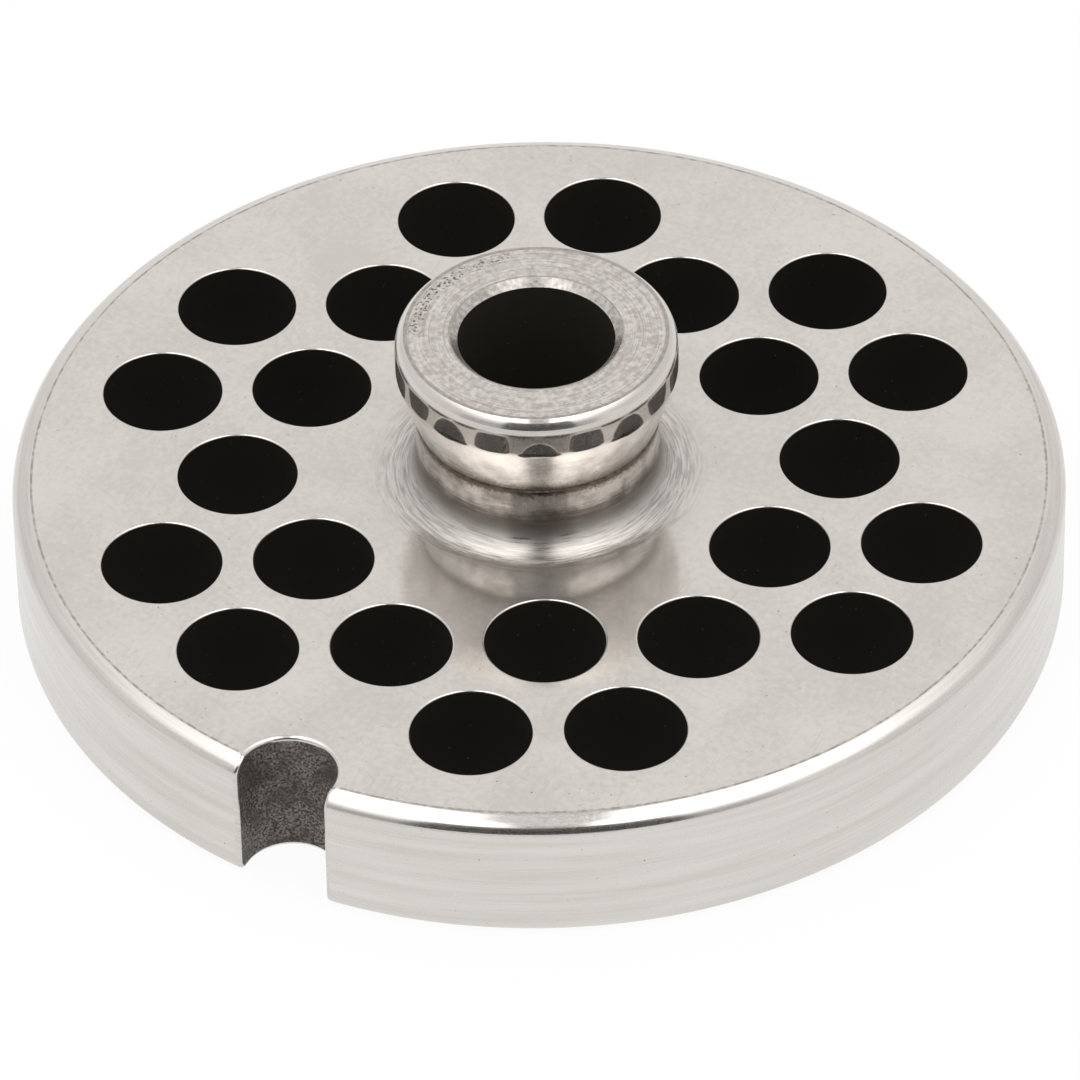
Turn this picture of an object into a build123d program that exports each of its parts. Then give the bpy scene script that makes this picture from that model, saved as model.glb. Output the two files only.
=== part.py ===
from build123d import *

import os
from math import cos, hypot, radians, sin, sqrt

# A hubbed mincing plate in millimetres: a holed steel disc with a boss in its middle, and a flared
# bushing that is pressed through the boss. The origin is the centre of the cutting face, which lies
# down, and +Z points to the hub.

# Disc
plate_diameter = 70.0
plate_thickness = 9.5
bevel_width = 1.2  # across the polished bevel round the upper face
bevel_height = 0.53
bevel_inner_round = 0.8
bevel_outer_round = 1.1
rim_bottom_round = 0.9

# Mincing holes on a hexagonal lattice, sharp on the cutting face
hole_diameter = 7.94
hole_web = 2.06  # steel between two neighbouring holes
hole_land = 3.0  # least steel between a hole and the hub, the rim or the notch
hole_edge_break = 0.12

# Locating notch in the rim
notch_width = 6.35
notch_depth = 4.5
notch_direction = -120.0  # degrees from +X
notch_edge_round = 0.28

# Stud bore and the bushing's sleeve round it
bore_diameter = 10.4
bore_chamfer = 0.5  # across the chamfer at either end
bore_chamfer_depth = 0.5
sleeve_wall = 1.5
sleeve_recess = 0.2  # from the cutting face up to the sleeve's end

# Boss that the sleeve is pressed into
boss_wall = 1.4
boss_height = 4.85
boss_fillet = 1.9
seam_edge_break = 0.12  # on both edges of the joint between the boss and the bushing's head

# Bushing's head: a flare, an upright band, a soft shoulder and a crown that meets the flat top in a crease
flare_overhang = 1.25
flare_height = 4.0
band_edge_round = 2.0
head_height = 2.8  # from the flare's upper edge to the flat top
shoulder_width = 0.245  # from the band in to the crown
shoulder_drop = 0.91  # from the flat top
shoulder_round = 1.7
crown_width = 0.59  # from the band in to the crease
crown_drop = 0.24
crown_round = 1.2

# Worked out from the sizes above
plate_radius = plate_diameter / 2
hole_radius = hole_diameter / 2
hole_pitch = hole_diameter + hole_web
notch_radius = notch_width / 2
notch_end = plate_radius - notch_depth + notch_radius  # from the axis to the half-round's centre
bore_radius = bore_diameter / 2
seat_radius = bore_radius + sleeve_wall
boss_radius = seat_radius + boss_wall
band_radius = boss_radius + flare_overhang
seam_level = plate_thickness + boss_height
band_level = seam_level + flare_height
hub_top = band_level + head_height


def turned(*corners):
    """Return the solid turned about Z from corners of (radius, height, round)."""
    points = [(radius, height) for radius, height, _ in corners]
    rounds = [corner_round for _, _, corner_round in corners]
    outline = Plane.XZ * FilletPolyline(*points, radius=rounds, close=True)
    return revolve(make_face(outline), Axis.Z)


def is_clear(x, y):
    """Tell whether a hole at (x, y) keeps its land to the hub, the rim and the notch."""
    keep_away = hole_radius + hole_land
    from_axis = hypot(x, y)
    direction = radians(notch_direction)
    along = x * cos(direction) + y * sin(direction)
    across = y * cos(direction) - x * sin(direction)
    from_notch = hypot(max(notch_end - along, 0.0), across)
    clear_of_hub = from_axis >= boss_radius + boss_fillet + keep_away
    clear_of_rim = from_axis <= plate_radius - keep_away
    clear_of_notch = from_notch >= notch_radius + keep_away
    return clear_of_hub and clear_of_rim and clear_of_notch


def hole_centres():
    """Return the lattice points that hold a mincing hole."""
    row_step = hole_pitch * sqrt(3) / 2
    last_row = int(plate_radius / row_step)
    last_column = int(plate_radius / hole_pitch) + 1
    centres = []
    for row in range(-last_row, last_row + 1):
        shift = hole_pitch / 2 * (row % 2)
        for column in range(-last_column, last_column + 1):
            x = column * hole_pitch + shift
            y = row * row_step
            if is_clear(x, y):
                centres.append((x, y))
    return centres


def mincing_hole():
    """Return the cutter of one hole, with its edge broken at the plate's upper face."""
    top = plate_thickness
    return turned(
        (0.0, 0.0, 0.0),
        (hole_radius, 0.0, 0.0),
        (hole_radius, top - hole_edge_break, 0.0),
        (hole_radius + hole_edge_break, top, 0.0),
        (0.0, top, 0.0),
    )


def notch_cutter():
    """Return the U-shaped slot through the rim, from below the plate to above it."""
    reach = notch_depth + notch_width
    slot = Pos(notch_end + reach / 2, 0, -notch_radius) * SlotCenterToCenter(reach, notch_width)
    return Rot(0, 0, notch_direction) * extrude(slot, plate_thickness + notch_width)


def make_plate():
    """Return the disc with its boss, the bushing's seat, the holes and the notch."""
    blank = turned(
        (seat_radius, 0.0, 0.0),
        (plate_radius, 0.0, rim_bottom_round),
        (plate_radius, plate_thickness - bevel_height, bevel_outer_round),
        (plate_radius - bevel_width, plate_thickness, bevel_inner_round),
        (boss_radius, plate_thickness, boss_fillet),
        (boss_radius, seam_level - seam_edge_break, 0.0),
        (boss_radius - seam_edge_break, seam_level, 0.0),
        (seat_radius, seam_level, 0.0),
    )
    cutter = notch_cutter()
    notched = blank - cutter
    notched = fillet(new_edges(blank, cutter, combined=notched), notch_edge_round)
    hole = mincing_hole()
    return notched - [Pos(x, y) * hole for x, y in hole_centres()]


def make_hub_bushing():
    """Return the flared head and its sleeve, which lines the stud bore."""
    return turned(
        (bore_radius + bore_chamfer, sleeve_recess, 0.0),
        (seat_radius, sleeve_recess, 0.0),
        (seat_radius, seam_level, 0.0),
        (boss_radius - seam_edge_break, seam_level, 0.0),
        (boss_radius, seam_level + seam_edge_break, 0.0),
        (band_radius, band_level, band_edge_round),
        (band_radius, hub_top - shoulder_drop, shoulder_round),
        (band_radius - shoulder_width, hub_top - crown_drop, crown_round),
        (band_radius - crown_width, hub_top, 0.0),
        (bore_radius + bore_chamfer, hub_top, 0.0),
        (bore_radius, hub_top - bore_chamfer_depth, 0.0),
        (bore_radius, sleeve_recess + bore_chamfer_depth, 0.0),
    )


os.makedirs("parts", exist_ok=True)
export_step(make_plate(), "parts/plate.step")
export_step(make_hub_bushing(), "parts/hub_bushing.step")
print("mincing holes:", len(hole_centres()))
print("overall height:", round(hub_top, 2))
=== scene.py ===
from math import atan2, ceil, cos, hypot, pi, radians, sin, sqrt, tan

import bmesh
import bpy
import numpy as np
from mathutils import Matrix, Vector
from mathutils.geometry import delaunay_2d_cdt


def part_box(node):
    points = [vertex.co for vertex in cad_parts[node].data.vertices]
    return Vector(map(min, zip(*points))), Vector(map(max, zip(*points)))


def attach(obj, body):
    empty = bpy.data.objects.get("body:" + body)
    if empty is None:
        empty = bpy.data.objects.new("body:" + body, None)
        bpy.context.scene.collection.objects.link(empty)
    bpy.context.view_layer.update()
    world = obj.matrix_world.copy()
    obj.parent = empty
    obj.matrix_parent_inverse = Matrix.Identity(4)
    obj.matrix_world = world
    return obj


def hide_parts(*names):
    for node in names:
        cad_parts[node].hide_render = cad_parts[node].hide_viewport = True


# Looks of a hubbed mincing plate that lies on a white table with its hub up. The script works in
# metres in the part's own frame: the origin is the centre of the cutting face, +Z points to the hub.

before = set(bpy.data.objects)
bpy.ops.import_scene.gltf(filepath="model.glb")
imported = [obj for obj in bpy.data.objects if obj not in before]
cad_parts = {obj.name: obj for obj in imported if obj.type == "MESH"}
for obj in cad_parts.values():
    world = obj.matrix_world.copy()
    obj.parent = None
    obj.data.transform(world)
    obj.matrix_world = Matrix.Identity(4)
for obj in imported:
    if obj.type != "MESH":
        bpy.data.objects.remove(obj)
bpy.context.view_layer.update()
_, plate_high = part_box("plate")
hub_low, hub_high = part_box("hub_bushing")

MM = 0.001

# Disc
PLATE_RADIUS = plate_high.x
PLATE_THICKNESS = 9.5 * MM
BEVEL_WIDTH = 1.2 * MM
BEVEL_HEIGHT = 0.53 * MM
BEVEL_INNER_ROUND = 0.8 * MM
BEVEL_OUTER_ROUND = 1.1 * MM
BEVEL_POLISH_DROP = BEVEL_OUTER_ROUND / 3  # from the bevel's outer corner down to the end of its polish
RIM_BOTTOM_ROUND = 0.9 * MM

# Mincing holes on a hexagonal lattice
HOLE_RADIUS = 3.97 * MM
HOLE_PITCH = 10.0 * MM
HOLE_LAND = 3.0 * MM
HOLE_EDGE_BREAK = 0.12 * MM

# Locating notch
NOTCH_RADIUS = 3.175 * MM
NOTCH_DEPTH = 4.5 * MM
NOTCH_DIRECTION = radians(-120)
NOTCH_EDGE_ROUND = 0.28 * MM
NOTCH_END = PLATE_RADIUS - NOTCH_DEPTH + NOTCH_RADIUS

# Boss, and the turned ring round its foot
SEAT_RADIUS = 6.7 * MM
BOSS_RADIUS = 8.1 * MM
BOSS_FILLET = 1.9 * MM
SEAM_LEVEL = plate_high.z
SEAM_EDGE_BREAK = 0.12 * MM
FOOT_RADIUS = 11.2 * MM  # to the end of the turning marks
FOOT_GROOVED_RADIUS = 10.4 * MM  # to the end of the deeper marks
FOOT_LEVEL = PLATE_THICKNESS + 1.1 * BOSS_FILLET  # where the foot's finish ends on the boss
FOOT_DARK_BAND_LEVEL = PLATE_THICKNESS + 2.0 * MM  # middle of the band painted darker low on the boss

# Bushing
BORE_RADIUS = 5.2 * MM
BORE_CHAMFER = 0.5 * MM
BORE_CHAMFER_DEPTH = 0.5 * MM
CHAMFER_LINE = 0.1 * MM  # across the dull line round the bore's chamfer
SLEEVE_LEVEL = hub_low.z
FLARE_HEIGHT = 4.0 * MM
BAND_RADIUS = hub_high.x
BAND_LEVEL = SEAM_LEVEL + FLARE_HEIGHT
BAND_EDGE_ROUND = 2.0 * MM
SHOULDER_WIDTH = 0.245 * MM
SHOULDER_DROP = 0.91 * MM
SHOULDER_ROUND = 1.7 * MM
CROWN_WIDTH = 0.59 * MM
CROWN_DROP = 0.24 * MM
CROWN_ROUND = 1.2 * MM
CREASE_WIDTH = 0.25 * MM  # across the dull line inside the crown
HUB_TOP = hub_high.z

# Fineness of the meshes
HUB_SIDES = 288
HOLE_SIDES = 80
RIM_STEPS = 340
NOTCH_STEPS = 40
SIDE_STEPS = 6
CORNER_STEPS = 7
HOLE_EDGE_STEPS = 6
ARC_STEP = radians(5)
LEAST_STEP = 0.004 * MM  # between two levels of the rim
SHARP_ANGLE = radians(18)  # between two faces, from which their edge shows

# Colours
WHITE = (1, 1, 1, 1)
TABLE_WHITE = (0.8, 0.8, 0.8, 1)
BRIGHT_STEEL = (0.71, 0.675, 0.64, 1)
LIGHT_STEEL = (0.67, 0.635, 0.6, 1)
DARK_STEEL = (0.6, 0.565, 0.53, 1)
RIM_LIGHT = (0.73, 0.705, 0.675, 1)
RIM_DARK = (0.61, 0.575, 0.535, 1)
TURNED_LIGHT = (0.62, 0.59, 0.56, 1)
TURNED_DARK = (0.36, 0.335, 0.31, 1)
SCRATCHED_STEEL = (0.45, 0.42, 0.39, 1)
STAINED_STEEL = (0.44, 0.405, 0.37, 1)
WIPED_STEEL = (0.4, 0.37, 0.34, 1)
SMUDGED_STEEL = (0.37, 0.34, 0.315, 1)
BROWN_STEEL = (0.15, 0.128, 0.112, 1)
# dark brown of the band painted low on the boss, about the top of the fillet
FOOT_BAND_DARK = (0.15, 0.128, 0.11, 1)
PIT_BROWN = (0.2, 0.17, 0.14, 1)
SPECK_BROWN = (0.2, 0.16, 0.13, 1)
EDGE_PIT_BROWN = (0.12, 0.105, 0.095, 1)
WALL_SPECK = (0.2, 0.18, 0.16, 1)
HOLE_BLACK = (0.014, 0.012, 0.009, 1)
BORE_BLACK = (0.027, 0.023, 0.017, 1)
CAST_LIGHT = (0.3, 0.27, 0.24, 1)
CAST_DARK = (0.03, 0.026, 0.022, 1)
CAST_BROWN = (0.06, 0.048, 0.038, 1)
SEAM_STAIN = (0.26, 0.215, 0.18, 1)
SEAM_LINE = (0.13, 0.1, 0.08, 1)
SEAM_LIGHT = (0.16, 0.125, 0.1, 1)
SEAM_DARK = (0.06, 0.047, 0.038, 1)
BEVEL_CREASE_LIGHT = (0.44, 0.41, 0.38, 1)
BEVEL_CREASE_DARK = (0.26, 0.235, 0.215, 1)
HUB_CREASE_LIGHT = (0.33, 0.3, 0.275, 1)
HUB_CREASE_DARK = (0.25, 0.225, 0.2, 1)

# Values that several finishes share
NOISE_MIDDLE = 0.5
BROAD_HAZE = 0.8  # roughness of the hazed specks on ground and turned faces
BROAD_HAZE_SHARE = 0.17
FOOT_BAND_ROUGHNESS = 0.45
MOTTLE_DEPTH = 0.001 * MM  # of the relief on ground faces


def rounded(corners):
    """Return (radius, height, zone) points along corners of (radius, height, round, zone).

    A point's zone is that of the run after it. An arc belongs to the run before it.
    """
    points = []
    count = len(corners)
    for index, (radius, height, corner_round, zone) in enumerate(corners):
        corner = Vector((radius, height))
        if corner_round == 0:
            points.append((radius, height, zone))
            continue
        arc_zone = corners[index - 1][3]
        come = (corner - Vector(corners[index - 1][:2])).normalized()
        leave = (Vector(corners[(index + 1) % count][:2]) - corner).normalized()
        turn = come.angle_signed(leave)
        start = corner - come * corner_round * tan(abs(turn) / 2)
        side = 1 if turn < 0 else -1
        centre = start + Vector((-come.y, come.x)) * corner_round * side
        steps = ceil(abs(turn) / ARC_STEP)
        for step in range(steps + 1):
            spoke = (start - centre).copy()
            spoke.rotate(Matrix.Rotation(-turn * step / steps, 2))
            place = centre + spoke
            points.append((place.x, place.y, zone if step == steps else arc_zone))
    return points


class Shell:
    """The points and faces of one closed piece, with a material zone for each face."""

    def __init__(self):
        self.points = []
        self.faces = []
        self.zones = []
        self.smooth = []

    def loop(self, points):
        """Add points and return their numbers."""
        first = len(self.points)
        self.points.extend(points)
        return list(range(first, len(self.points)))

    def ring(self, radius, height, sides, centre=(0.0, 0.0)):
        """Add a level circle and return its points' numbers."""
        turns = [2 * pi * side / sides for side in range(sides)]
        return self.loop(
            [(centre[0] + radius * cos(t), centre[1] + radius * sin(t), height) for t in turns]
        )

    def bridge(self, one, other, zones):
        """Join two loops of equal length with quads; zones holds one zone, or one for each quad."""
        count = len(one)
        for side in range(count):
            after = (side + 1) % count
            self.faces.append((one[side], one[after], other[after], other[side]))
        self.zones.extend([zones] * count if isinstance(zones, str) else zones)
        self.smooth.extend([True] * count)

    def cap(self, loops, zone):
        """Fill the flat face inside the first loop, and outside the others, with triangles."""
        numbers = [number for loop in loops for number in loop]
        flat = [Vector(self.points[number][:2]) / MM for number in numbers]
        order = {number: place for place, number in enumerate(numbers)}
        outlines = [[order[number] for number in loop] for loop in loops]
        inside = 1
        tolerance = 1e-6
        result = delaunay_2d_cdt(flat, [], outlines, inside, tolerance)
        triangles, sources, owners = result[2], result[3], result[5]
        for triangle, owner in zip(triangles, owners):
            if owner == [0]:
                self.faces.append(tuple(numbers[sources[corner][0]] for corner in triangle))
                self.zones.append(zone)
                self.smooth.append(False)


def make_piece(name, shell, materials, node):
    """Make the object that stands for a CAD node, with smooth shading between its sharp edges."""
    mesh = bpy.data.meshes.new(name)
    mesh.from_pydata(shell.points, [], shell.faces)
    zone_names = list(materials)
    for material in materials.values():
        mesh.materials.append(material)
    mesh.polygons.foreach_set("material_index", [zone_names.index(zone) for zone in shell.zones])
    mesh.polygons.foreach_set("use_smooth", shell.smooth)
    work = bmesh.new()
    work.from_mesh(mesh)
    bmesh.ops.recalc_face_normals(work, faces=work.faces)
    for edge in work.edges:
        one, other = edge.link_faces
        edge.smooth = one.smooth == other.smooth and edge.calc_face_angle() < SHARP_ANGLE
    work.to_mesh(mesh)
    work.free()
    piece = bpy.data.objects.new(name, mesh)
    bpy.context.scene.collection.objects.link(piece)
    weighting = piece.modifiers.new("Even shading", "WEIGHTED_NORMAL")
    weighting.keep_sharp = True
    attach(piece, "root")
    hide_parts(node)


def hole_centres():
    """Return the lattice points that keep their land to the hub, the rim and the notch."""
    keep_away = HOLE_RADIUS + HOLE_LAND
    row_step = HOLE_PITCH * sqrt(3) / 2
    last_row = int(PLATE_RADIUS / row_step)
    last_column = int(PLATE_RADIUS / HOLE_PITCH) + 1
    centres = []
    for row in range(-last_row, last_row + 1):
        for column in range(-last_column, last_column + 1):
            x = (column + 0.5 * (row % 2)) * HOLE_PITCH
            y = row * row_step
            along = x * cos(NOTCH_DIRECTION) + y * sin(NOTCH_DIRECTION)
            across = y * cos(NOTCH_DIRECTION) - x * sin(NOTCH_DIRECTION)
            from_axis = hypot(x, y)
            from_notch = hypot(max(NOTCH_END - along, 0.0), across)
            clear_of_hub = from_axis >= BOSS_RADIUS + BOSS_FILLET + keep_away
            clear_of_rim = from_axis <= PLATE_RADIUS - keep_away
            clear_of_notch = from_notch >= NOTCH_RADIUS + keep_away
            if clear_of_hub and clear_of_rim and clear_of_notch:
                centres.append((x, y))
    return centres


def arc(centre, radius, start, end, steps):
    """Return steps + 1 points on an arc from the angle start to the angle end."""
    turns = [start + (end - start) * step / steps for step in range(steps + 1)]
    return [(centre[0] + radius * cos(t), centre[1] + radius * sin(t)) for t in turns]


def line(start, end, steps):
    """Return the points between start and end, without either."""
    shares = [step / steps for step in range(1, steps)]
    return [(start[0] + (end[0] - start[0]) * s, start[1] + (end[1] - start[1]) * s) for s in shares]


def notched_outline(rim_radius, growth):
    """Return the disc's outline at one level, with the notch grown by its edge's rounding."""
    half = NOTCH_RADIUS + growth
    corner = NOTCH_EDGE_ROUND
    corner_y = half + corner
    corner_x = sqrt((rim_radius - corner) ** 2 - corner_y ** 2)
    rim_start = atan2(corner_y, corner_x)
    outline = arc((0, 0), rim_radius, rim_start, 2 * pi - rim_start, RIM_STEPS)[:-1]
    outline += arc((corner_x, -corner_y), corner, -rim_start, pi / 2, CORNER_STEPS)
    outline += line((corner_x, -half), (NOTCH_END, -half), SIDE_STEPS)
    outline += arc((NOTCH_END, 0), half, -pi / 2, -3 * pi / 2, NOTCH_STEPS)
    outline += line((NOTCH_END, half), (corner_x, half), SIDE_STEPS)
    outline += arc((corner_x, corner_y), corner, -pi / 2, rim_start, CORNER_STEPS)[:-1]
    turn_cos = cos(NOTCH_DIRECTION)
    turn_sin = sin(NOTCH_DIRECTION)
    return [(x * turn_cos - y * turn_sin, x * turn_sin + y * turn_cos) for x, y in outline]


def rim_levels():
    """Return (height, rim radius, notch growth) from the cutting face up to the upper face."""
    top = PLATE_THICKNESS
    edge = NOTCH_EDGE_ROUND
    profile = rounded([
        (PLATE_RADIUS - BEVEL_WIDTH, 0.0, 0.0, ""),
        (PLATE_RADIUS, 0.0, RIM_BOTTOM_ROUND, ""),
        (PLATE_RADIUS, top - BEVEL_HEIGHT, BEVEL_OUTER_ROUND, ""),
        (PLATE_RADIUS - BEVEL_WIDTH, top, BEVEL_INNER_ROUND, ""),
        (BOSS_RADIUS, top, 0.0, ""),
    ])[1:-1]
    radii = [radius for radius, _, _ in profile]
    heights = [height for _, height, _ in profile]
    rises = [edge * (1 - cos(step * ARC_STEP)) for step in range(1, ceil(pi / 2 / ARC_STEP))]
    extra = rises + [edge] + [top - edge] + [top - rise for rise in rises]
    levels = sorted(heights + [z for z in extra if min(abs(z - h) for h in heights) > LEAST_STEP])
    result = []
    for height in levels:
        from_face = max(min(height, top - height), 0.0)
        growth = 0.0
        if from_face < edge:
            growth = edge - sqrt(edge ** 2 - (edge - from_face) ** 2)
        result.append((height, float(np.interp(height, heights, radii)), growth))
    return result


def rim_zones(low, high):
    """Return the zone of each quad between two levels of the rim."""
    middle = (low + high) / 2
    slope = atan2(BEVEL_HEIGHT, BEVEL_WIDTH)
    crease_low = PLATE_THICKNESS - BEVEL_INNER_ROUND * (1 - cos(slope / 2))
    bevel_low = PLATE_THICKNESS - BEVEL_HEIGHT - BEVEL_POLISH_DROP
    rim_zone = "rim"
    if middle > crease_low:
        rim_zone = "crease"
    elif middle > bevel_low:
        rim_zone = "bevel"
    on_wall = NOTCH_EDGE_ROUND < middle < PLATE_THICKNESS - NOTCH_EDGE_ROUND
    rim = [rim_zone] * RIM_STEPS
    corner = ["edge"] * CORNER_STEPS
    wall = ["notch" if on_wall else "edge"] * (2 * SIDE_STEPS + NOTCH_STEPS)
    return rim + corner + wall + corner


def add_rim(shell):
    """Add the rim with its notch, and return its lowest and its highest loop."""
    levels = rim_levels()
    loops = []
    for height, rim_radius, growth in levels:
        outline = notched_outline(rim_radius, growth)
        loops.append(shell.loop([(x, y, height) for x, y in outline]))
    for index in range(len(levels) - 1):
        zones = rim_zones(levels[index][0], levels[index + 1][0])
        shell.bridge(loops[index], loops[index + 1], zones)
    return loops[0], loops[-1]


def add_hole(shell, centre):
    """Add one hole's wall and rounded edge, and return its lowest and its highest loop."""
    rings = [shell.ring(HOLE_RADIUS, 0.0, HOLE_SIDES, centre)]
    for step in range(HOLE_EDGE_STEPS + 1):
        turn = pi / 2 * step / HOLE_EDGE_STEPS
        radius = HOLE_RADIUS + HOLE_EDGE_BREAK * (1 - cos(turn))
        height = PLATE_THICKNESS - HOLE_EDGE_BREAK * (1 - sin(turn))
        rings.append(shell.ring(radius, height, HOLE_SIDES, centre))
    shell.bridge(rings[0], rings[1], "hole")
    for index in range(1, len(rings) - 1):
        shell.bridge(rings[index], rings[index + 1], "edge")
    return rings[0], rings[-1]


def add_boss(shell):
    """Add the bushing's seat, the boss and its foot, and return the lowest and the outermost loop."""
    profile = rounded([
        (SEAT_RADIUS, 0.0, 0.0, "hidden"),
        (SEAT_RADIUS, SEAM_LEVEL, 0.0, "hidden"),
        (BOSS_RADIUS - SEAM_EDGE_BREAK, SEAM_LEVEL, 0.0, "seam"),
        (BOSS_RADIUS, SEAM_LEVEL - SEAM_EDGE_BREAK, 0.0, "boss"),
        (BOSS_RADIUS, FOOT_LEVEL, 0.0, "face"),
        (BOSS_RADIUS, PLATE_THICKNESS, BOSS_FILLET, "face"),
        (FOOT_RADIUS, PLATE_THICKNESS, 0.0, "face"),
    ])
    rings = [shell.ring(radius, height, HUB_SIDES) for radius, height, _ in profile]
    for index in range(len(rings) - 1):
        shell.bridge(rings[index], rings[index + 1], profile[index][2])
    return rings[0], rings[-1]


def make_plate(materials):
    """Make the disc with its holes, notch and boss."""
    shell = Shell()
    ends = [add_rim(shell)]
    ends += [add_hole(shell, centre) for centre in hole_centres()]
    ends.append(add_boss(shell))
    shell.cap([lower for lower, _ in ends], "cutting_face")
    shell.cap([upper for _, upper in ends], "face")
    make_piece("plate_steel", shell, materials, "plate")


def make_bushing(materials):
    """Make the flared head with the sleeve that lines the stud bore."""
    shell = Shell()
    profile = rounded([
        (BORE_RADIUS + BORE_CHAMFER, SLEEVE_LEVEL, 0.0, "sleeve_end"),
        (SEAT_RADIUS, SLEEVE_LEVEL, 0.0, "sleeve_end"),
        (SEAT_RADIUS, SEAM_LEVEL, 0.0, "sleeve_end"),
        (BOSS_RADIUS - SEAM_EDGE_BREAK, SEAM_LEVEL, 0.0, "seam"),
        (BOSS_RADIUS, SEAM_LEVEL + SEAM_EDGE_BREAK, 0.0, "flare"),
        (BAND_RADIUS, BAND_LEVEL, BAND_EDGE_ROUND, "band"),
        (BAND_RADIUS, HUB_TOP - SHOULDER_DROP, SHOULDER_ROUND, "band"),
        (BAND_RADIUS - SHOULDER_WIDTH, HUB_TOP - CROWN_DROP, CROWN_ROUND, "band"),
        (BAND_RADIUS - CROWN_WIDTH, HUB_TOP, 0.0, "crease"),
        (BAND_RADIUS - CROWN_WIDTH - CREASE_WIDTH, HUB_TOP, 0.0, "hub_face"),
        (BORE_RADIUS + BORE_CHAMFER + CHAMFER_LINE, HUB_TOP, 0.0, "crease"),
        (BORE_RADIUS + BORE_CHAMFER, HUB_TOP, 0.0, "chamfer"),
        (BORE_RADIUS, HUB_TOP - BORE_CHAMFER_DEPTH, 0.0, "bore"),
        (BORE_RADIUS, SLEEVE_LEVEL + BORE_CHAMFER_DEPTH, 0.0, "bore"),
    ])
    rings = [shell.ring(radius, height, HUB_SIDES) for radius, height, _ in profile]
    for index, (_, _, zone) in enumerate(profile):
        shell.bridge(rings[index], rings[(index + 1) % len(rings)], zone)
    make_piece("bushing_steel", shell, materials, "hub_bushing")


def add(tree, kind, inputs=(), **settings):
    """Add a node. Inputs maps its sockets to values or to other nodes' sockets."""
    made = tree.nodes.new(kind)
    for key, value in settings.items():
        setattr(made, key, value)
    for key, value in dict(inputs).items():
        if isinstance(value, bpy.types.NodeSocket):
            tree.links.new(value, made.inputs[key])
        else:
            made.inputs[key].default_value = value
    return made


def compute(tree, operation, *values):
    """Return the socket of a Math node's result."""
    return add(tree, "ShaderNodeMath", enumerate(values), operation=operation).outputs[0]


def remap(tree, value, low, high, new_low=0.0, new_high=1.0):
    """Return value moved smoothly from the range low to high into a new range."""
    sockets = {"Value": value, "From Min": low, "From Max": high, "To Min": new_low, "To Max": new_high}
    return add(tree, "ShaderNodeMapRange", sockets, interpolation_type="SMOOTHSTEP").outputs[0]


def stretch(tree, value, spread, new_low=0.0, new_high=1.0):
    """Return noise moved smoothly into a new range, from within spread of its middle."""
    return remap(tree, value, NOISE_MIDDLE - spread, NOISE_MIDDLE + spread, new_low, new_high)


def window(tree, value, low, high, soft):
    """Return 1 where value lies between low and high, with edges that fade over soft to either side."""
    rise = remap(tree, value, low - soft, low + soft)
    fall = remap(tree, value, high - soft, high + soft, 1.0, 0.0)
    return compute(tree, "MULTIPLY", rise, fall)


def blend(tree, share, one, other):
    """Return a colour between one and other."""
    sockets = {0: share, 6: one, 7: other}
    return add(tree, "ShaderNodeMix", sockets, data_type="RGBA").outputs[2]


def between(tree, share, one, other):
    """Return a value between one and other."""
    return add(tree, "ShaderNodeMix", {0: share, 2: one, 3: other}, data_type="FLOAT").outputs[0]


def object_place(tree):
    """Return a point's place in the part's frame."""
    return add(tree, "ShaderNodeTexCoord").outputs["Object"]


def split(tree, vector):
    """Return a vector's three parts."""
    return add(tree, "ShaderNodeSeparateXYZ", {0: vector}).outputs


def height_above(tree, level):
    """Return the height above a level."""
    height = split(tree, object_place(tree))[2]
    return compute(tree, "SUBTRACT", height, level)


def axis_radius(tree):
    """Return the distance from the axis."""
    sockets = {0: object_place(tree), 1: (1.0, 1.0, 0.0)}
    flat = add(tree, "ShaderNodeVectorMath", sockets, operation="MULTIPLY").outputs[0]
    return add(tree, "ShaderNodeVectorMath", {0: flat}, operation="LENGTH").outputs[1]


def noise(tree, cell, detail, rotation=0.0):
    """Return noise whose cells measure cell = (x, y, z), turned about Z."""
    sockets = {"Vector": object_place(tree), "Angle": rotation}
    turned = add(tree, "ShaderNodeVectorRotate", sockets, rotation_type="Z_AXIS").outputs[0]
    scale = [1 / size for size in cell]
    scaled = add(tree, "ShaderNodeVectorMath", {0: turned, 1: scale}, operation="MULTIPLY").outputs[0]
    sockets = {"Vector": scaled, "Scale": 1.0, "Detail": detail}
    return add(tree, "ShaderNodeTexNoise", sockets).outputs[0]


def even_noise(tree, size, detail):
    """Return noise whose cells measure size each way."""
    return noise(tree, (size, size, size), detail)


def ring_noise(tree, along, across):
    """Return noise drawn out along circles about the axis, as a lathe tool leaves it."""
    x, y, z = split(tree, object_place(tree))
    level = compute(tree, "SUBTRACT", z, axis_radius(tree))
    sockets = {
        0: compute(tree, "DIVIDE", x, along),
        1: compute(tree, "DIVIDE", y, along),
        2: compute(tree, "DIVIDE", level, across),
    }
    vector = add(tree, "ShaderNodeCombineXYZ", sockets).outputs[0]
    return add(tree, "ShaderNodeTexNoise", {"Vector": vector, "Scale": 1.0, "Detail": 3.0}).outputs[0]


def specks(tree, size, low, high, detail=0.0):
    """Return scattered specks, which begin where noise with cells of size passes low and are full at high."""
    return remap(tree, even_noise(tree, size, detail), low, high)


def bump(tree, height, depth):
    """Return the normal of a surface whose relief is depth metres deep."""
    sockets = {"Height": height, "Distance": depth, "Strength": 1.0}
    return add(tree, "ShaderNodeBump", sockets).outputs[0]


def metal(name, metallic=1.0):
    """Return a new material, its node tree and its shader."""
    material = bpy.data.materials.new(name)
    material.use_nodes = True
    tree = material.node_tree
    shader = tree.nodes["Principled BSDF"]
    shader.inputs["Metallic"].default_value = metallic
    return material, tree, shader


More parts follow.
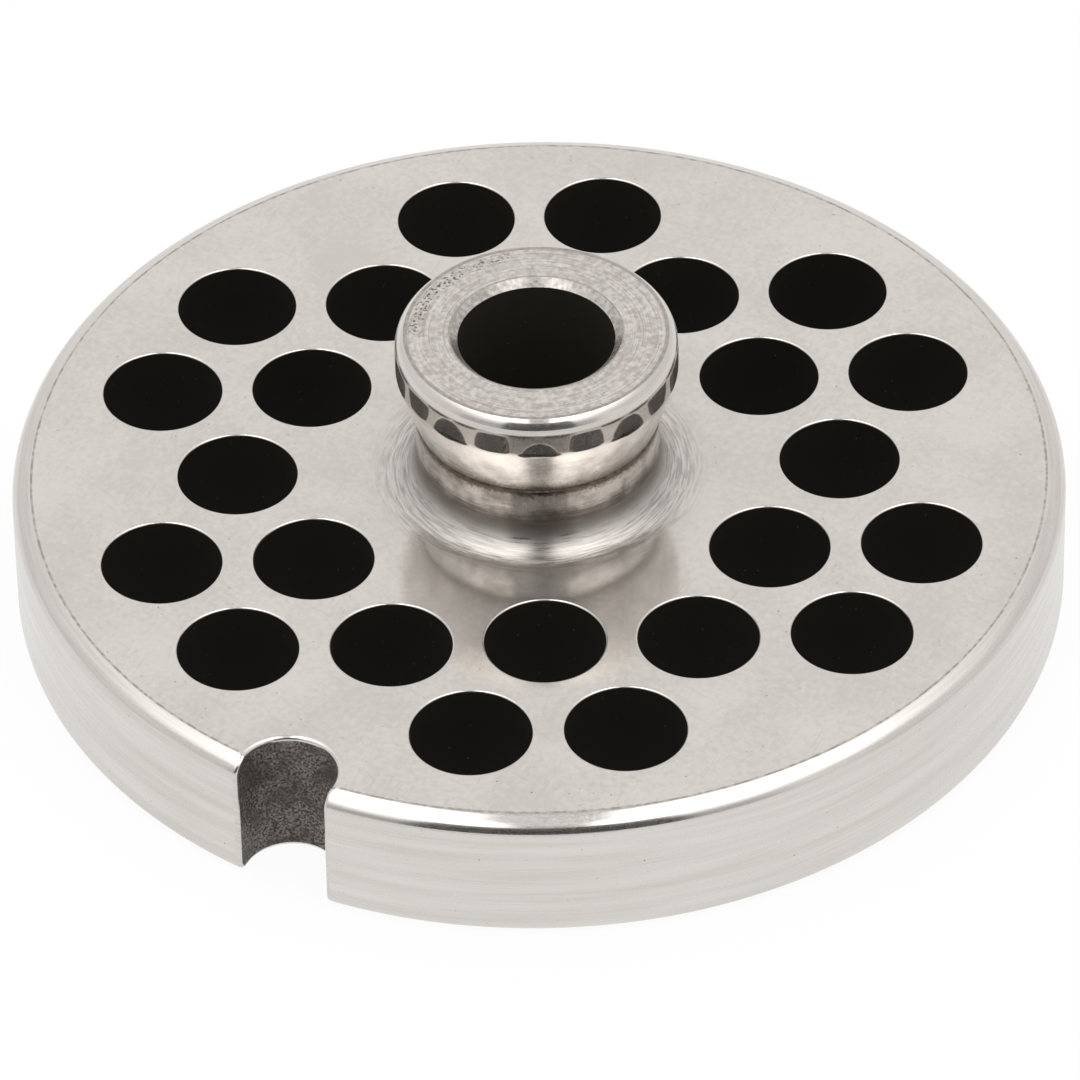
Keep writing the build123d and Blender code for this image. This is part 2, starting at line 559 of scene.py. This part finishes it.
def feed(tree, shader, **sockets):
    """Link or set the shader's inputs."""
    for name, value in sockets.items():
        socket = shader.inputs[name.replace("_", " ")]
        if isinstance(value, bpy.types.NodeSocket):
            tree.links.new(value, socket)
        else:
            socket.default_value = value


def groove(tree, shader, amount):
    """Make the shader blur its reflections across grooves that run round the axis, and less along them."""
    quarter_turn = 0.25
    tangent = add(tree, "ShaderNodeTangent", direction_type="RADIAL", axis="Z").outputs[0]
    feed(tree, shader, Anisotropic=amount, Anisotropic_Rotation=quarter_turn, Tangent=tangent)


def hazed(tree, clear, haze, share):
    """Return a roughness of fine specks, a share of them hazed, so that a mirror image shows through haze."""
    speck_size = 0.02 * MM
    noise_spread = 0.13
    softness = 0.03
    limit = NOISE_MIDDLE + noise_spread * (1 - 2 * share)
    fine = even_noise(tree, speck_size, detail=0.0)
    return remap(tree, fine, limit - softness, limit + softness, clear, haze)


def ragged_band(tree, grain, level, reach):
    """Return a band on the hub that ends about reach away from a level, ragged as the grain is."""
    raggedness = 0.4 * reach
    softness = 0.8 * reach
    away = compute(tree, "ABSOLUTE", height_above(tree, level))
    end = stretch(tree, grain, spread=0.2, new_low=reach - raggedness, new_high=reach + raggedness)
    return remap(tree, compute(tree, "SUBTRACT", end, away), -softness, softness)


def foot_rings(tree):
    """Return the turning marks round the boss."""
    return ring_noise(tree, along=1.8 * MM, across=0.16 * MM)


def foot_dark_band(tree):
    """Return how far the band painted darker low on the boss shows."""
    strength = 0.75
    ragged = ragged_band(tree, foot_rings(tree), FOOT_DARK_BAND_LEVEL, reach=0.8 * MM)
    return compute(tree, "MULTIPLY", ragged, strength)


def turned_foot(tree, radius):
    """Return how far turning marks show that end, raggedly, about a radius from the axis."""
    patch_size = 1.2 * MM
    raggedness = 1.2 * MM
    fade_start = radius - 0.8 * MM
    fade_end = radius + 1.2 * MM
    patches = even_noise(tree, patch_size, detail=5)
    ragged = compute(tree, "MULTIPLY_ADD", patches, raggedness, axis_radius(tree))
    return remap(tree, ragged, fade_start, fade_end, 1.0, 0.0)


def scratches(tree, rotation):
    """Return thin, straight, rare scratches that run one way across the upper faces."""
    width = 0.06 * MM
    length = 5 * MM
    lines = noise(tree, (width, length, length), detail=0.0, rotation=rotation)
    return remap(tree, lines, low=0.7, high=0.76)


def ground_mottle(tree):
    """Return the fine mottling of a ground face."""
    return even_noise(tree, 0.4 * MM, detail=4)


def ground_colour(tree, mottle):
    """Return the colour of a ground face: soft blotches, fine mottling, hair scratches and rare pits."""
    mottle_share = 0.45
    hair_strength = 0.2
    blotch = even_noise(tree, 6 * MM, detail=6)
    tone = between(tree, mottle_share, blotch, mottle)
    colour = blend(tree, stretch(tree, tone, spread=0.14), DARK_STEEL, LIGHT_STEEL)
    hairs = compute(tree, "MAXIMUM", scratches(tree, radians(25)), scratches(tree, radians(-50)))
    colour = blend(tree, compute(tree, "MULTIPLY", hairs, hair_strength), colour, SCRATCHED_STEEL)
    pits = specks(tree, 0.22 * MM, low=0.83, high=0.88)
    return blend(tree, pits, colour, PIT_BROWN)


def ground_roughness(tree):
    """Return the roughness of a ground face: nearly a mirror, with some haze."""
    return hazed(tree, clear=0.115, haze=BROAD_HAZE, share=BROAD_HAZE_SHARE)


def ground_steel():
    """Make the plate's upper face, with the turning marks and the band painted darker low on the boss."""
    groove_depth = 2.0  # in depths of the mottling
    groove_blur = 0.94
    material, tree, shader = metal("ground_face")
    mottle = ground_mottle(tree)
    rings = foot_rings(tree)
    turned = turned_foot(tree, FOOT_RADIUS)
    grooved = turned_foot(tree, FOOT_GROOVED_RADIUS)
    # the boss is painted darker in a ragged band about the top of the fillet
    dark_band = foot_dark_band(tree)
    marks = blend(tree, stretch(tree, rings, spread=0.15), TURNED_DARK, TURNED_LIGHT)
    marked = between(tree, 0.5, turned, grooved)
    colour = blend(tree, marked, ground_colour(tree, mottle), marks)
    colour = blend(tree, dark_band, colour, FOOT_BAND_DARK)
    ring_rough = stretch(tree, rings, spread=0.2, new_low=0.26, new_high=0.38)
    rough = between(tree, grooved, ground_roughness(tree), ring_rough)
    rough = between(tree, dark_band, rough, FOOT_BAND_ROUGHNESS)
    grooves = compute(tree, "MULTIPLY", rings, grooved)
    relief = compute(tree, "MULTIPLY_ADD", grooves, groove_depth, mottle)
    feed(tree, shader, Base_Color=colour, Roughness=rough, Normal=bump(tree, relief, MOTTLE_DEPTH))
    groove(tree, shader, compute(tree, "MULTIPLY", grooved, groove_blur))
    return material


def cutting_steel():
    """Make the plain ground face that lies on the table."""
    material, tree, shader = metal("cutting_face")
    mottle = ground_mottle(tree)
    colour = ground_colour(tree, mottle)
    relief = bump(tree, mottle, MOTTLE_DEPTH)
    feed(tree, shader, Base_Color=colour, Roughness=ground_roughness(tree), Normal=relief)
    return material


def brushed_rim():
    """Make the rim's side: fine streaks round the plate, warm blotches and few specks."""
    material, tree, shader = metal("brushed_rim")
    fine = ring_noise(tree, along=8 * MM, across=0.07 * MM)
    broad = ring_noise(tree, along=15 * MM, across=0.8 * MM)
    tone = between(tree, 0.5, fine, broad)
    colour = blend(tree, stretch(tree, tone, spread=0.2), RIM_DARK, RIM_LIGHT)
    colour = blend(tree, specks(tree, 0.2 * MM, low=0.86, high=0.89), colour, SPECK_BROWN)
    rough = stretch(tree, fine, spread=0.2, new_low=0.18, new_high=0.36)
    relief = bump(tree, fine, depth=0.0015 * MM)
    feed(tree, shader, Base_Color=colour, Roughness=rough, Normal=relief)
    return material


def polished_steel(name, clear, haze, share):
    """Make a polished face with wiping marks, a share of it hazed."""
    wipe_strength = 0.2
    material, tree, shader = metal(name)
    wipes = ring_noise(tree, along=6 * MM, across=0.3 * MM)
    wiped = stretch(tree, wipes, spread=0.15, new_high=wipe_strength)
    colour = blend(tree, wiped, LIGHT_STEEL, WIPED_STEEL)
    feed(tree, shader, Base_Color=colour, Roughness=hazed(tree, clear, haze, share))
    return material


def stain_seam(tree, colour):
    """Return a colour with a brown stain about the seam, and a darker line just under it."""
    speckle = even_noise(tree, 0.2 * MM, detail=4)
    about = ragged_band(tree, speckle, SEAM_LEVEL, reach=0.5 * MM)
    under = ragged_band(tree, speckle, SEAM_LEVEL - SEAM_EDGE_BREAK, reach=0.22 * MM)
    return blend(tree, under, blend(tree, about, colour, SEAM_STAIN), SEAM_LINE)


def hub_steel(name, light, dark, low, high):
    """Make the boss or the flare: smudged steel, darker at the level low and lighter at the level high."""
    smudge_share = 0.8
    drift = 0.1
    material, tree, shader = metal(name)
    rings = ring_noise(tree, along=10 * MM, across=0.12 * MM)
    smudge = even_noise(tree, 1.6 * MM, detail=5)
    rise = remap(tree, height_above(tree, low), 0.0, high - low, -drift, drift)
    tone = compute(tree, "ADD", between(tree, smudge_share, rings, smudge), rise)
    colour = stain_seam(tree, blend(tree, stretch(tree, tone, spread=0.2), dark, light))
    # the boss is painted darker in a ragged band about the top of the fillet
    dark_band = foot_dark_band(tree)
    colour = blend(tree, dark_band, colour, FOOT_BAND_DARK)
    rough = between(tree, dark_band, hazed(tree, clear=0.08, haze=0.3, share=0.15), FOOT_BAND_ROUGHNESS)
    relief = bump(tree, rings, depth=0.001 * MM)
    feed(tree, shader, Base_Color=colour, Roughness=rough, Normal=relief)
    return material


def edge_pits(tree):
    """Return a scatter of small pits along the far left of the hub's upper edge."""
    inner_radius = 7.5 * MM
    outer_radius = 8.4 * MM
    last_right = -1.2 * MM
    last_front = -0.5 * MM
    fade = 1.0 * MM
    x, y, _ = split(tree, object_place(tree))
    leftward = remap(tree, x, last_right - fade, last_right, 1.0, 0.0)
    backward = remap(tree, y, last_front, last_front + fade)
    quarter = compute(tree, "MULTIPLY", leftward, backward)
    ring = window(tree, axis_radius(tree), inner_radius, outer_radius, soft=0.3 * MM)
    pits = specks(tree, 0.17 * MM, low=0.58, high=0.63, detail=1)
    return compute(tree, "MULTIPLY", compute(tree, "MULTIPLY", pits, ring), quarter)


def turned_steel(name, dark, across, low, high, pitted=False):
    """Make a turned face with blotches, and rings about the axis whose roughness runs from low to high."""
    blotch_share = 0.6
    material, tree, shader = metal(name)
    rings = ring_noise(tree, along=6 * MM, across=across)
    blotch = even_noise(tree, 0.35 * MM, detail=5)
    tone = between(tree, blotch_share, rings, blotch)
    colour = blend(tree, stretch(tree, tone, spread=0.15), dark, LIGHT_STEEL)
    if pitted:
        colour = blend(tree, edge_pits(tree), colour, EDGE_PIT_BROWN)
    ring_rough = stretch(tree, rings, spread=0.2, new_low=low, new_high=high)
    haze = hazed(tree, clear=0.0, haze=BROAD_HAZE, share=BROAD_HAZE_SHARE)
    rough = compute(tree, "MAXIMUM", ring_rough, haze)
    relief = bump(tree, rings, depth=0.0009 * MM)
    feed(tree, shader, Base_Color=colour, Roughness=rough, Normal=relief)
    return material


def dark_wall(name, colour):
    """Make the near black wall of the holes or the bore, with rare lighter specks."""
    material, tree, shader = metal(name, metallic=0.0)
    tone = blend(tree, specks(tree, 0.12 * MM, low=0.86, high=0.89), colour, WALL_SPECK)
    feed(tree, shader, Base_Color=tone, Roughness=0.7, Specular_IOR_Level=0.1)
    return material


def cast_skin():
    """Make the notch's grainy cast wall, with brown patches."""
    patch_strength = 0.6
    material, tree, shader = metal("cast_skin", metallic=0.4)
    grain = even_noise(tree, 0.16 * MM, detail=2)
    colour = blend(tree, remap(tree, grain, low=0.35, high=0.68), CAST_DARK, CAST_LIGHT)
    patches = even_noise(tree, 1.5 * MM, detail=2)
    patched = stretch(tree, patches, spread=0.15, new_high=patch_strength)
    colour = blend(tree, patched, colour, CAST_BROWN)
    feed(tree, shader, Base_Color=colour, Roughness=0.55, Normal=bump(tree, grain, depth=0.02 * MM))
    return material


def dull_dark_steel(name, dark, light):
    """Make the brown dirt in the seam; the same finish makes the dark, dull line painted where two faces
    meet.
    """
    material, tree, shader = metal(name, metallic=0.3)
    grain = even_noise(tree, 0.4 * MM, detail=3)
    colour = blend(tree, stretch(tree, grain, spread=0.15), dark, light)
    feed(tree, shader, Base_Color=colour, Roughness=0.6)
    return material


def aim_camera():
    """Place the camera as the photograph was taken: a long lens, 41 degrees above the table."""
    elevation = radians(41.41)
    azimuth = radians(-0.69)
    roll = radians(-1.06)
    distance = 659.1 * MM
    aim_right = -0.03 * MM
    aim_up = -4.9 * MM
    target = Vector((0.12 * MM, 0.0, PLATE_THICKNESS))
    back = Vector((sin(azimuth) * cos(elevation), -cos(azimuth) * cos(elevation), sin(elevation)))
    level = Vector((cos(azimuth), sin(azimuth), 0.0))
    above = back.cross(level)
    right = cos(roll) * level + sin(roll) * above
    up = -sin(roll) * level + cos(roll) * above
    camera = bpy.data.objects.new("camera", bpy.data.cameras.new("camera"))
    camera.data.lens = 330.8
    camera.data.sensor_width = 36.0
    camera.data.clip_start = 0.05
    camera.data.clip_end = 20.0
    place = Matrix((right, up, back)).transposed().to_4x4()
    place.translation = target + back * distance + right * aim_right + up * aim_up
    camera.matrix_world = place
    bpy.context.scene.collection.objects.link(camera)
    bpy.context.scene.camera = camera


def panel(tree, around, height, sides, levels, soft):
    """Return 1 inside a panel of the tent, between two directions and two heights in degrees."""
    across = window(tree, around, radians(sides[0]), radians(sides[1]), radians(soft))
    upward = window(tree, height, radians(levels[0]), radians(levels[1]), radians(soft))
    return compute(tree, "MULTIPLY", across, upward)


def tent_strength(tree):
    """Return the tent's light: white walls with dimmer panels, a bright dome with a gap, a dark lens slit."""
    wall_light = 1.0
    dome_light = 2.8  # above the walls', at the dome's middle
    gap_light = 0.46
    beside_loss = 0.42
    sides_loss = 0.14
    slit_loss = 0.94
    dome_lean = radians(12)  # from overhead to the camera's side
    dome_reach = radians(56)
    gap_fade_start = radians(40)
    gap_fade_end = radians(55)
    dome_axis = (0.0, -sin(dome_lean), cos(dome_lean))

    direction = add(tree, "ShaderNodeTexCoord").outputs["Generated"]
    x, y, z = split(tree, direction)
    height = compute(tree, "ARCSINE", z)
    around = compute(tree, "ARCTAN2", x, compute(tree, "MULTIPLY", y, -1.0))
    aside = compute(tree, "ABSOLUTE", around)
    along = add(tree, "ShaderNodeVectorMath", {0: direction, 1: dome_axis}, operation="DOT_PRODUCT")
    away = compute(tree, "ARCCOSINE", along.outputs[1])

    dome = remap(tree, away, 0.0, dome_reach, dome_light, 0.0)
    overhead = remap(tree, away, gap_fade_start, gap_fade_end, 1.0, 0.0)
    gap = compute(tree, "MULTIPLY", window(tree, x, low=-0.1, high=0.11, soft=0.04), overhead)
    slit = panel(tree, aside, height, sides=(-10, 27), levels=(-2, 46), soft=3.5)
    beside = panel(tree, around, height, sides=(-60, 46), levels=(-5, 25), soft=8)
    sides = panel(tree, aside, height, sides=(60, 150), levels=(-10, 40), soft=15)

    light = compute(tree, "ADD", dome, wall_light)
    light = between(tree, gap, light, gap_light)
    light = compute(tree, "MULTIPLY_ADD", beside, -beside_loss, light)
    light = compute(tree, "MULTIPLY_ADD", sides, -sides_loss, light)
    return compute(tree, "MULTIPLY", light, compute(tree, "MULTIPLY_ADD", slit, -slit_loss, 1.0))


def light_tent():
    """Make the world a white light tent, which the camera sees as plain white where it is dim."""
    world = bpy.data.worlds.new("light_tent")
    world.use_nodes = True
    bpy.context.scene.world = world
    tree = world.node_tree
    path = add(tree, "ShaderNodeLightPath")
    shown = compute(tree, "MAXIMUM", tent_strength(tree), path.outputs["Is Camera Ray"])
    feed(tree, tree.nodes["Background"], Color=WHITE, Strength=shown)


def white_table():
    """Make the table's white, which shows as white, keeps a faint shadow and is clear from below."""
    glow_share = 0.93  # what the shadow leaves of the white
    material, tree, shader = metal("white_table", metallic=0.0)
    feed(tree, shader, Base_Color=TABLE_WHITE, Roughness=0.9, Specular_IOR_Level=0.0)
    glow = add(tree, "ShaderNodeEmission", {"Color": WHITE, "Strength": 1.0})
    path = add(tree, "ShaderNodeLightPath")
    seen = compute(tree, "MAXIMUM", path.outputs["Is Camera Ray"], path.outputs["Is Glossy Ray"])
    seen = compute(tree, "MAXIMUM", seen, path.outputs["Is Transmission Ray"])
    share = compute(tree, "MULTIPLY", seen, glow_share)
    lit = add(tree, "ShaderNodeMixShader", {0: share, 1: shader.outputs[0], 2: glow.outputs[0]})
    clear = add(tree, "ShaderNodeBsdfTransparent")
    facing = add(tree, "ShaderNodeNewGeometry").outputs["Backfacing"]
    both = add(tree, "ShaderNodeMixShader", {0: facing, 1: lit.outputs[0], 2: clear.outputs[0]})
    tree.links.new(both.outputs[0], tree.nodes["Material Output"].inputs["Surface"])
    return material


def lay_floor():
    """Lay the white table just under the plate."""
    half = 3.0
    drop = 0.01 * MM
    corners = [(-half, -half, -drop), (half, -half, -drop), (half, half, -drop), (-half, half, -drop)]
    mesh = bpy.data.meshes.new("table")
    mesh.from_pydata(corners, [], [(0, 1, 2, 3)])
    mesh.materials.append(white_table())
    floor = bpy.data.objects.new("table", mesh)
    bpy.context.scene.collection.objects.link(floor)


plate_materials = {
    "face": ground_steel(),
    "rim": brushed_rim(),
    # a dark, dull line painted along the bevel's inner edge
    "crease": dull_dark_steel("bevel_crease", BEVEL_CREASE_DARK, BEVEL_CREASE_LIGHT),
    "bevel": polished_steel("polished_bevel", clear=0.07, haze=0.35, share=0.3),
    "edge": polished_steel("polished_edge", clear=0.08, haze=0.35, share=0.4),
    "hole": dark_wall("hole_wall", HOLE_BLACK),
    "notch": cast_skin(),
    "boss": hub_steel("turned_boss", LIGHT_STEEL, BROWN_STEEL, PLATE_THICKNESS, SEAM_LEVEL),
    "seam": dull_dark_steel("seam_grime", SEAM_DARK, SEAM_LIGHT),
    "cutting_face": cutting_steel(),
    "hidden": turned_steel("seat", DARK_STEEL, across=0.1 * MM, low=0.3, high=0.4),
}
bushing_materials = {
    "flare": hub_steel("polished_flare", BRIGHT_STEEL, STAINED_STEEL, SEAM_LEVEL, BAND_LEVEL),
    "band": polished_steel("polished_band", clear=0.05, haze=0.4, share=0.25),
    # a dark, dull line painted round the edge of the hub's upper face
    "crease": dull_dark_steel("hub_crease", HUB_CREASE_DARK, HUB_CREASE_LIGHT),
    "hub_face": turned_steel("turned_face", STAINED_STEEL, 0.12 * MM, low=0.14, high=0.3, pitted=True),
    "chamfer": turned_steel("turned_chamfer", SMUDGED_STEEL, 0.12 * MM, low=0.18, high=0.3),
    "bore": dark_wall("bore_wall", BORE_BLACK),
    "seam": plate_materials["seam"],
    "sleeve_end": plate_materials["hidden"],
}
make_plate(plate_materials)
make_bushing(bushing_materials)
lay_floor()
light_tent()
aim_camera()
bpy.context.scene.view_settings.view_transform = "Standard"
